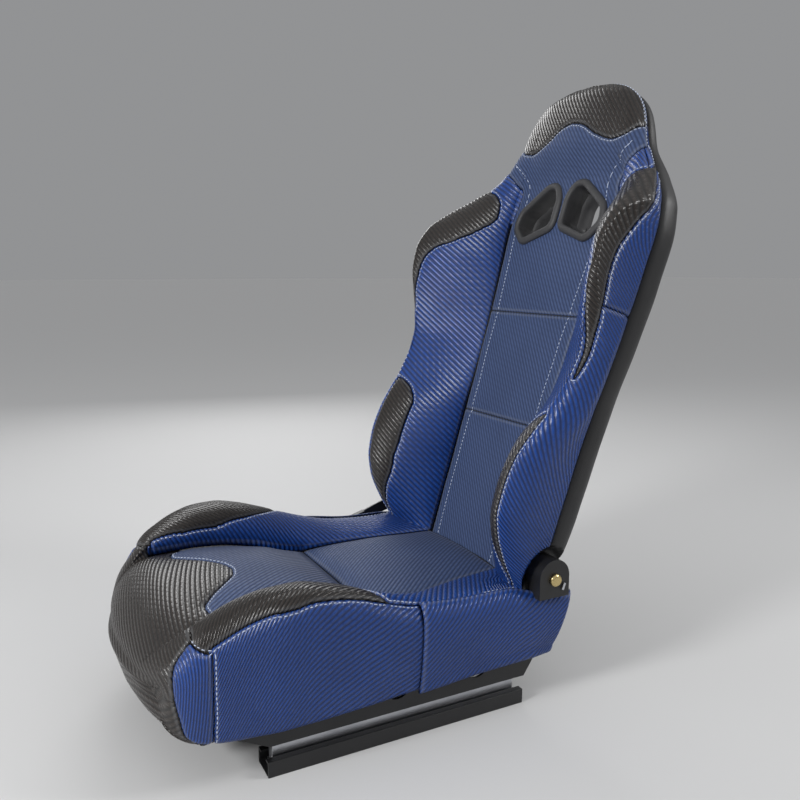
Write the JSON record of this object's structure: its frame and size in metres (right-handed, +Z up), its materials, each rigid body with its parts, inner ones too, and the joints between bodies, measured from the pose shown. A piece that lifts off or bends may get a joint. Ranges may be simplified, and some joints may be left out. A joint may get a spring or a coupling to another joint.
{
  "type": "reclining sport car seat",
  "caption": "Reclining bucket-style sport seat with thigh and shoulder bolsters, harness slots, side hinges and lockable slide rails.",
  "frame": {"origin": "middle of the seat's footprint, on the floor under the slide rails", "axes": "+Z up, the sitter faces -Y, +X towards the seat's left side"},
  "size_m": [0.5612, 0.8557, 0.9596],
  "materials": {
    "blue_vinyl": "glossy ribbed blue vinyl",
    "dark_vinyl": "glossy ribbed brown-black vinyl",
    "centre_fabric": "fine ribbed grey-blue fabric",
    "black_vinyl": "satin black grained vinyl",
    "grey_plastic": "matt dark grey moulded plastic",
    "black_plastic": "satin black moulded plastic",
    "black_steel": "black powder coat",
    "zinc_steel": "bright zinc plate",
    "spring_steel": "oiled spring wire",
    "gold_steel": "yellow-passivated steel"
  },
  "bodies": {
    "floor_rails": {"lower_rail_left": "black_steel", "lower_rail_right": "black_steel"},
    "roller_cages": {"roller_cage_left": "black_plastic", "roller_cage_right": "black_plastic"},
    "seat_base": {"upper_rail_left": "zinc_steel", "upper_rail_right": "zinc_steel", "base_side_plate_left": "black_steel", "base_side_plate_right": "black_steel", "rail_bolt_left_front": "zinc_steel", "rail_bolt_left_rear": "zinc_steel", "rail_bolt_right_front": "zinc_steel", "rail_bolt_right_rear": "zinc_steel", "front_cross_tube": "black_steel", "rear_cross_tube": "black_steel", "seat_spring_1": "spring_steel", "seat_spring_2": "spring_steel", "seat_spring_3": "spring_steel", "seat_spring_4": "spring_steel", "lock_bracket_left": "black_steel", "lock_bracket_right": "black_steel", "cushion_front_insert": "dark_vinyl", "cushion_rear_pad": "centre_fabric", "cushion_bolster_left": "blue_vinyl", "cushion_bolster_right": "blue_vinyl", "cushion_skirt_front": "dark_vinyl", "cushion_skirt_left": "blue_vinyl", "cushion_skirt_right": "blue_vinyl", "hinge_cover_left": "black_plastic", "hinge_cover_right": "black_plastic", "hinge_bolt_left": "gold_steel", "hinge_clip_left": "zinc_steel", "hinge_sleeve_right": "zinc_steel", "recline_spring": "spring_steel"},
    "slide_lock": {"slide_lock_bar": "black_steel", "lock_bar_spring": "spring_steel", "slide_latch_left": "zinc_steel", "slide_latch_right": "zinc_steel"},
    "backrest": {"back_frame_hoop": "black_steel", "back_cross_tube_lower": "black_steel", "back_cross_tube_upper": "black_steel", "lumbar_spring_1": "spring_steel", "lumbar_spring_2": "spring_steel", "lumbar_spring_3": "spring_steel", "recliner_arm_left": "black_steel", "recliner_arm_right": "black_steel", "recliner_sector": "zinc_steel", "back_centre_pad": "centre_fabric", "back_bolster_left": "blue_vinyl", "back_bolster_right": "blue_vinyl", "headrest_pad": "dark_vinyl", "back_rear_cover": "black_vinyl", "harness_bezel_front_left": "grey_plastic", "harness_bezel_front_right": "grey_plastic", "harness_bezel_rear_left": "grey_plastic", "harness_bezel_rear_right": "grey_plastic"},
    "recliner_lever": {"recliner_lever": "black_steel", "recliner_lever_grip": "black_plastic", "recliner_lever_shaft": "zinc_steel", "release_cam": "zinc_steel"},
    "recliner_pawl": {"recliner_pawl": "zinc_steel"}
  },
  "joints": [
    {"name": "slide_adjust", "type": "slide", "parent": "floor_rails", "child": "seat_base", "axis": [0, 1, 0], "range_m": [-0.08, 0.08]},
    {"name": "cage_roll", "type": "slide", "parent": "floor_rails", "child": "roller_cages", "axis": [0, 1, 0], "range_m": [-0.045, 0.045]},
    {"name": "slide_release", "type": "hinge", "parent": "seat_base", "child": "slide_lock", "pos_m": [0, -0.135, 0.056], "axis": [-1, 0, 0], "range_deg": [0, 7.5], "stiffness_Nm_per_rad": 4, "springref_deg": -5.73},
    {"name": "recline", "type": "hinge", "parent": "seat_base", "child": "backrest", "pos_m": [0, 0.15, 0.201], "axis": [-1, 0, 0], "range_deg": [-30, 50]},
    {"name": "lever_pull", "type": "hinge", "parent": "seat_base", "child": "recliner_lever", "pos_m": [0, 0.15, 0.201], "axis": [-1, 0, 0], "range_deg": [0, 22], "stiffness_Nm_per_rad": 1.5, "springref_deg": -11.46},
    {"name": "pawl_release", "type": "hinge", "parent": "seat_base", "child": "recliner_pawl", "pos_m": [0, 0.175, 0.158], "axis": [1, 0, 0], "range_deg": [0, 14]}
  ],
  "couplings": [
    {"joint": "cage_roll", "follows": "slide_adjust", "ratio": 0.5},
    {"joint": "pawl_release", "follows": "lever_pull", "ratio": 0.6}
  ]
}
